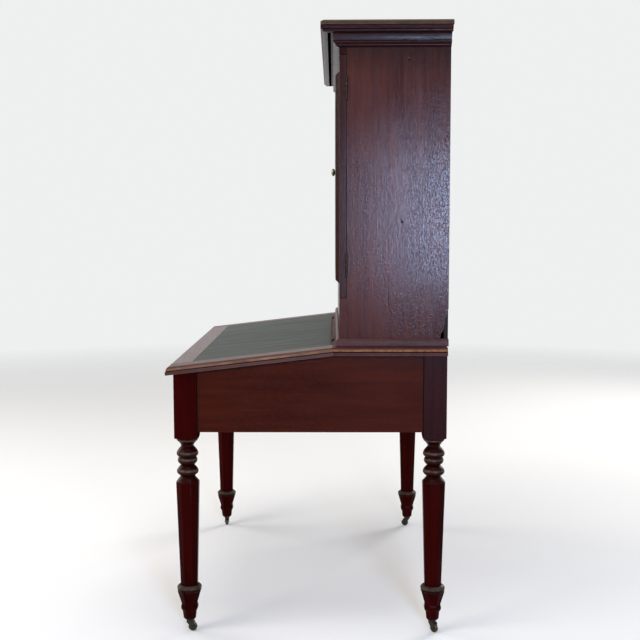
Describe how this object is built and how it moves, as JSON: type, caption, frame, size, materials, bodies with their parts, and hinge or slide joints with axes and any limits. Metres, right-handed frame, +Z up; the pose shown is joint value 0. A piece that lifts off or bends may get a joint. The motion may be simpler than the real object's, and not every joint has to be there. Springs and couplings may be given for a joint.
{
  "type": "postmaster desk",
  "caption": "Slant-top postmaster desk on turned octagonal legs with brass casters, a leather writing lid over a well, and a two-door letter cabinet under a moulded cornice.",
  "frame": {"origin": "on the floor under the middle of the bounding box", "axes": "+X to the desk's right, +Y to its back, +Z up"},
  "size_m": [1.104, 0.784, 1.697],
  "materials": {
    "mahogany": "old varnish, crazed and worn at the edges",
    "poplar": "bare secondary wood",
    "hide": "worn grey-green writing leather",
    "brass": "aged",
    "iron": "dark"
  },
  "bodies": {
    "desk": {"leg_front_right": "mahogany", "leg_front_left": "mahogany", "leg_rear_right": "mahogany", "leg_rear_left": "mahogany", "apron_right": "mahogany", "apron_left": "mahogany", "apron_front": "mahogany", "apron_back": "mahogany", "well_floor": "poplar", "top_board": "mahogany", "lid_hinge_fixed_leaf_right": "brass", "lid_hinge_fixed_leaf_left": "brass", "caster_plate_front_right": "iron", "caster_plate_front_left": "iron", "caster_plate_rear_right": "iron", "caster_plate_rear_left": "iron", "case_side_right": "mahogany", "case_side_left": "mahogany", "case_floor": "poplar", "case_roof": "poplar", "upper_shelf": "poplar", "bottom_rail": "mahogany", "top_rail": "mahogany", "back_boards": "poplar", "pigeonhole_nest": "poplar", "waist_moulding": "mahogany", "cornice_front": "mahogany", "cornice_return_right": "mahogany", "cornice_return_left": "mahogany", "cornice_cap": "mahogany", "door_hinge_case_leaf_right_lower": "brass", "door_hinge_case_leaf_right_upper": "brass", "door_hinge_case_leaf_left_lower": "brass", "door_hinge_case_leaf_left_upper": "brass"},
    "lid": {"lid_stile_right": "mahogany", "lid_stile_left": "mahogany", "lid_front_rail": "mahogany", "lid_panel": "mahogany", "writing_leather": "hide", "lid_hinge_lid_leaf_right": "brass", "lid_hinge_lid_leaf_left": "brass"},
    "door_right": {"door_frame_right": "mahogany", "door_panel_right": "mahogany", "door_hinge_door_leaf_right_lower": "brass", "door_hinge_door_leaf_right_upper": "brass", "door_knob": "brass", "escutcheon": "brass"},
    "door_left": {"door_frame_left": "mahogany", "door_panel_left": "mahogany", "door_hinge_door_leaf_left_lower": "brass", "door_hinge_door_leaf_left_upper": "brass"},
    "bolt": {"lock_bolt": "brass"},
    "swivel_front_right": {"caster_fork_front_right": "iron"},
    "swivel_front_left": {"caster_fork_front_left": "iron"},
    "swivel_rear_right": {"caster_fork_rear_right": "iron"},
    "swivel_rear_left": {"caster_fork_rear_left": "iron"},
    "wheel_front_right": {"caster_wheel_front_right": "brass"},
    "wheel_front_left": {"caster_wheel_front_left": "brass"},
    "wheel_rear_right": {"caster_wheel_rear_right": "brass"},
    "wheel_rear_left": {"caster_wheel_rear_left": "brass"}
  },
  "joints": [
    {"name": "lid_lift", "type": "hinge", "parent": "desk", "child": "lid", "pos_m": [0, 0.07, 0.8203], "axis": [-1, 0, 0], "range_deg": [0, 97]},
    {"name": "door_right_swing", "type": "hinge", "parent": "desk", "child": "door_right", "pos_m": [0.5056, 0.10777, 1.2835], "axis": [0, 0, -1], "range_deg": [-180, 0]},
    {"name": "door_left_swing", "type": "hinge", "parent": "desk", "child": "door_left", "pos_m": [-0.5056, 0.10777, 1.2835], "axis": [0, 0, 1], "range_deg": [-180, 0]},
    {"name": "bolt_throw", "type": "slide", "parent": "door_right", "child": "bolt", "axis": [-1, 0, 0], "range_m": [0, 0.01]},
    {"name": "swivel_front_right_turn", "type": "hinge", "parent": "desk", "child": "swivel_front_right", "pos_m": [0.498, -0.339, 0.03], "axis": [0, 0, 1], "continuous": true},
    {"name": "swivel_front_left_turn", "type": "hinge", "parent": "desk", "child": "swivel_front_left", "pos_m": [-0.498, -0.339, 0.03], "axis": [0, 0, 1], "continuous": true},
    {"name": "swivel_rear_right_turn", "type": "hinge", "parent": "desk", "child": "swivel_rear_right", "pos_m": [0.498, 0.353, 0.03], "axis": [0, 0, 1], "continuous": true},
    {"name": "swivel_rear_left_turn", "type": "hinge", "parent": "desk", "child": "swivel_rear_left", "pos_m": [-0.498, 0.353, 0.03], "axis": [0, 0, 1], "continuous": true},
    {"name": "wheel_front_right_roll", "type": "hinge", "parent": "swivel_front_right", "child": "wheel_front_right", "pos_m": [0.498, -0.331, 0.0125], "axis": [-1, 0, 0], "continuous": true},
    {"name": "wheel_front_left_roll", "type": "hinge", "parent": "swivel_front_left", "child": "wheel_front_left", "pos_m": [-0.50588, -0.34039, 0.0125], "axis": [0.1736, -0.9848, 0], "continuous": true},
    {"name": "wheel_rear_right_roll", "type": "hinge", "parent": "swivel_rear_right", "child": "wheel_rear_right", "pos_m": [0.50455, 0.35759, 0.0125], "axis": [-0.5736, 0.8192, 0], "continuous": true},
    {"name": "wheel_rear_left_roll", "type": "hinge", "parent": "swivel_rear_left", "child": "wheel_rear_left", "pos_m": [-0.50074, 0.34548, 0.0125], "axis": [0.9397, -0.342, 0], "continuous": true}
  ]
}
